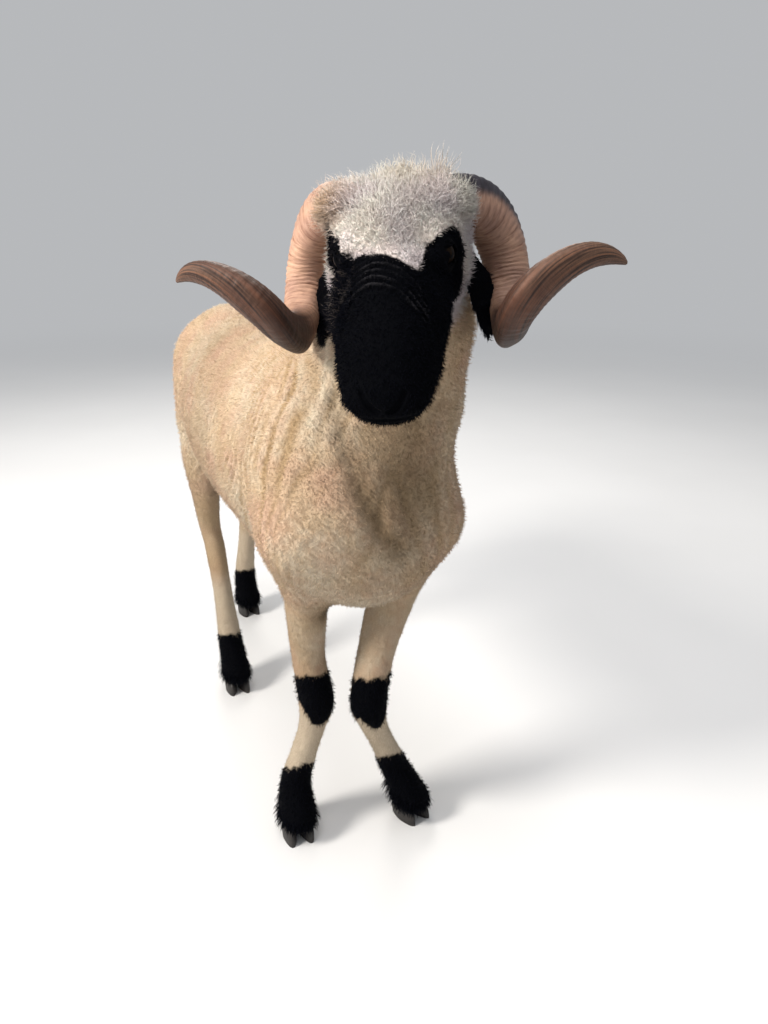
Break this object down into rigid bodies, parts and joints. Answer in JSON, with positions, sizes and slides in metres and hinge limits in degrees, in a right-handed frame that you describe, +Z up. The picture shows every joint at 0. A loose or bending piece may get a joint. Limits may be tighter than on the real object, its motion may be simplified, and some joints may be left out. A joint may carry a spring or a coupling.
{
  "type": "valais blacknose sheep",
  "caption": "Standing horned ram, freshly shorn, with black face, ears, knees and feet and pale fleece; head turned to its right. Still display figure.",
  "frame": {"origin": "on the ground, under the middle of the bounding box", "axes": "+Z up; the sheep faces -Y, with its head turned to its right; +X is its left side"},
  "size_m": [0.4078, 1.2204, 1.0064],
  "materials": {
    "fleece": "short shorn wool",
    "crown_wool": "soft curly wool",
    "black_wool": "short black wool",
    "horn": "ridged horn, satin",
    "eye": "wet gloss",
    "claw": "worn horn",
    "dark_skin": "thinly haired skin"
  },
  "bodies": {
    "root": {"horn_left": "horn", "ear_left": "black_wool", "horn_right": "horn", "ear_right": "black_wool", "eye_left": "eye", "eye_right": "eye", "head": "crown_wool", "muzzle": "black_wool", "neck": "fleece", "tail": "fleece", "scrotum": "dark_skin", "torso": "fleece", "fore_right_leg": "fleece", "fore_right_knee": "black_wool", "fore_right_cannon": "fleece", "fore_right_foot": "black_wool", "fore_right_claw_outer": "claw", "fore_right_claw_inner": "claw", "fore_left_leg": "fleece", "fore_left_knee": "black_wool", "fore_left_cannon": "fleece", "fore_left_foot": "black_wool", "fore_left_claw_outer": "claw", "fore_left_claw_inner": "claw", "hind_right_thigh": "fleece", "hind_right_shank": "fleece", "hind_right_foot": "black_wool", "hind_right_claw_outer": "claw", "hind_right_claw_inner": "claw", "hind_left_thigh": "fleece", "hind_left_shank": "fleece", "hind_left_foot": "black_wool", "hind_left_claw_outer": "claw", "hind_left_claw_inner": "claw"}
  },
  "joints": []
}
